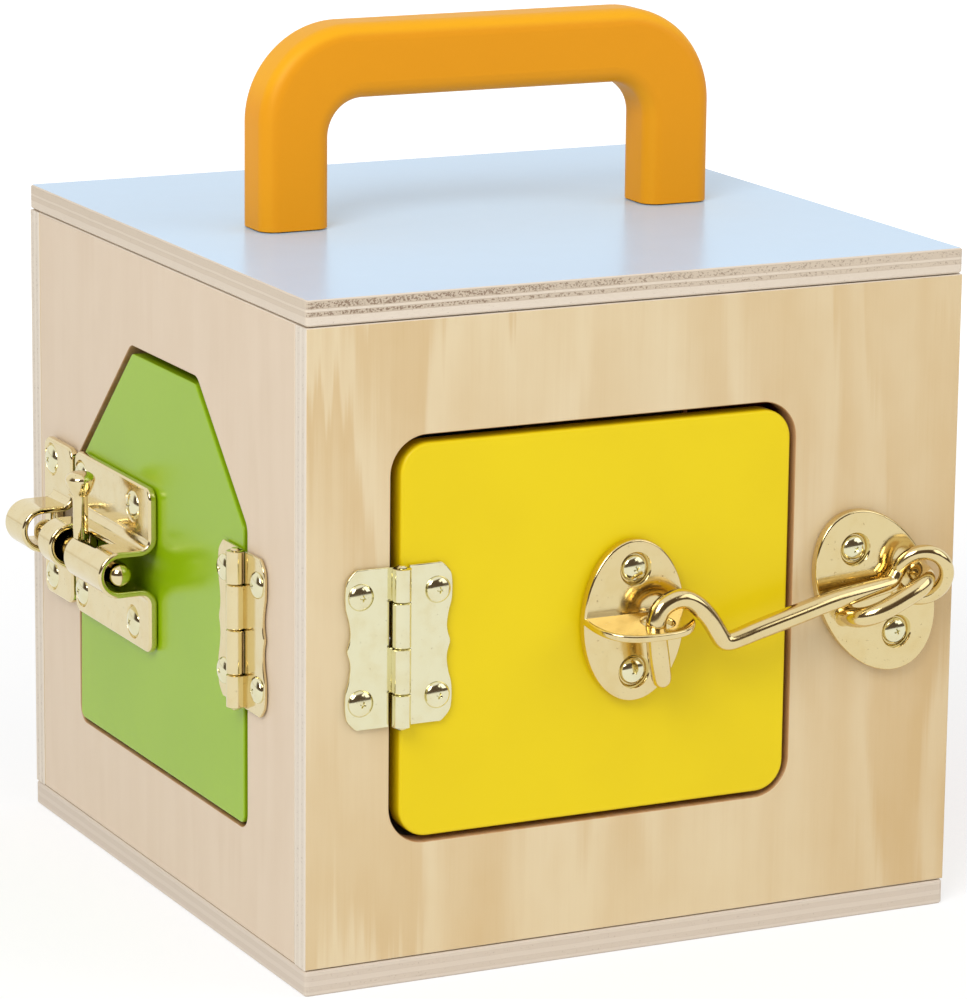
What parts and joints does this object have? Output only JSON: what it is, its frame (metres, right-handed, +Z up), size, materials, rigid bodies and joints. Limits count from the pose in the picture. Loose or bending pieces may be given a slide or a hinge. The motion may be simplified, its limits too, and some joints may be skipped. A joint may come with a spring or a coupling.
{
  "type": "latch activity box",
  "caption": "Plywood activity box with a carrying handle on top and a hinged, coloured door in each side, closed by a cabin hook, a barrel bolt and turn buttons.",
  "frame": {"origin": "middle of the bottom panel's underside, under the middle of the plywood box", "axes": "+Z up through the carrying handle, -Y out of the front with the yellow door, -X out of the side with the green door"},
  "size_m": [0.1906, 0.19, 0.211],
  "materials": {
    "birch_plywood": "sanded birch plywood under thin clear varnish",
    "pale_blue_paint": "plywood with pale blue satin paint on its upper face",
    "orange_lacquer": "solid wood under orange satin lacquer",
    "yellow_lacquer": "plywood under yellow lacquer",
    "green_lacquer": "plywood under glossy green lacquer",
    "red_lacquer": "plywood under red lacquer",
    "blue_lacquer": "plywood under blue lacquer",
    "brass_plate": "pressed steel with polished pale brass plating"
  },
  "bodies": {
    "box": {"bottom_panel": "birch_plywood", "top_panel": "pale_blue_paint", "front_panel": "birch_plywood", "left_panel": "birch_plywood", "right_panel": "birch_plywood", "back_panel": "birch_plywood", "carry_handle": "orange_lacquer", "handle_screw_left": "brass_plate", "handle_screw_right": "brass_plate", "yellow_frame_leaf": "brass_plate", "yellow_hinge_pin": "brass_plate", "yellow_frame_hinge_screw_upper": "brass_plate", "yellow_frame_hinge_screw_lower": "brass_plate", "staple_plate": "brass_plate", "staple_screw_upper": "brass_plate", "staple_screw_lower": "brass_plate", "green_frame_leaf": "brass_plate", "green_hinge_pin": "brass_plate", "green_frame_hinge_screw_upper": "brass_plate", "green_frame_hinge_screw_lower": "brass_plate", "bolt_keeper": "brass_plate", "keeper_screw_upper": "brass_plate", "keeper_screw_lower": "brass_plate", "red_frame_leaf": "brass_plate", "red_hinge_pin": "brass_plate", "red_button_screw": "brass_plate", "blue_frame_leaf": "brass_plate", "blue_hinge_pin": "brass_plate", "blue_button_screw": "brass_plate"},
    "yellow_door": {"yellow_door": "yellow_lacquer", "yellow_door_leaf": "brass_plate", "yellow_door_hinge_screw_upper": "brass_plate", "yellow_door_hinge_screw_lower": "brass_plate", "catch_plate": "brass_plate", "catch_screw_upper": "brass_plate", "catch_screw_lower": "brass_plate"},
    "cabin_hook": {"cabin_hook": "brass_plate"},
    "green_door": {"green_door": "green_lacquer", "green_door_leaf": "brass_plate", "green_door_hinge_screw_upper": "brass_plate", "green_door_hinge_screw_lower": "brass_plate", "bolt_body": "brass_plate", "bolt_screw_upper_inner": "brass_plate", "bolt_screw_upper_outer": "brass_plate", "bolt_screw_lower_inner": "brass_plate", "bolt_screw_lower_outer": "brass_plate"},
    "bolt_rod": {"bolt_rod": "brass_plate"},
    "bolt_knob": {"bolt_knob": "brass_plate"},
    "red_door": {"red_door": "red_lacquer", "red_door_leaf": "brass_plate"},
    "red_turn_button": {"red_turn_button": "brass_plate"},
    "blue_door": {"blue_door": "blue_lacquer", "blue_door_leaf": "brass_plate"},
    "blue_turn_button": {"blue_turn_button": "brass_plate"}
  },
  "joints": [
    {"name": "yellow_door_swing", "type": "hinge", "parent": "box", "child": "yellow_door", "pos_m": [-0.0631, -0.0875, 0.0809], "axis": [0, 0, -1], "range_deg": [0, 60]},
    {"name": "cabin_hook_lift", "type": "hinge", "parent": "box", "child": "cabin_hook", "pos_m": [0.07165, -0.0929, 0.0854], "axis": [0.34, 0.8806, 0.33], "range_deg": [0, 264]},
    {"name": "green_door_swing", "type": "hinge", "parent": "box", "child": "green_door", "pos_m": [-0.0875, -0.05105, 0.0793], "axis": [0, 0, 1], "range_deg": [0, 160]},
    {"name": "bolt_slide", "type": "slide", "parent": "green_door", "child": "bolt_rod", "axis": [0, 1, 0], "range_m": [-0.0138, 0.0042]},
    {"name": "bolt_knob_turn", "type": "hinge", "parent": "bolt_rod", "child": "bolt_knob", "pos_m": [-0.0948, 0.0272, 0.0806], "axis": [0, -1, 0], "range_deg": [0, 75]},
    {"name": "red_door_swing", "type": "hinge", "parent": "box", "child": "red_door", "pos_m": [0.0875, -0.04105, 0.062], "axis": [0, 0, -1], "range_deg": [0, 160]},
    {"name": "red_button_turn", "type": "hinge", "parent": "box", "child": "red_turn_button", "pos_m": [0.085, 0.0495, 0.062], "axis": [1, 0, 0], "range_deg": [0, 90]},
    {"name": "blue_door_swing", "type": "hinge", "parent": "box", "child": "blue_door", "pos_m": [0.04905, 0.0875, 0.081], "axis": [0, 0, -1], "range_deg": [0, 160]},
    {"name": "blue_button_turn", "type": "hinge", "parent": "box", "child": "blue_turn_button", "pos_m": [-0.0575, 0.085, 0.081], "axis": [0, 1, 0], "range_deg": [0, 90]}
  ],
  "couplings": [
    {"joint": "cabin_hook_lift", "follows": "yellow_door_swing", "ratio": 4.4}
  ]
}
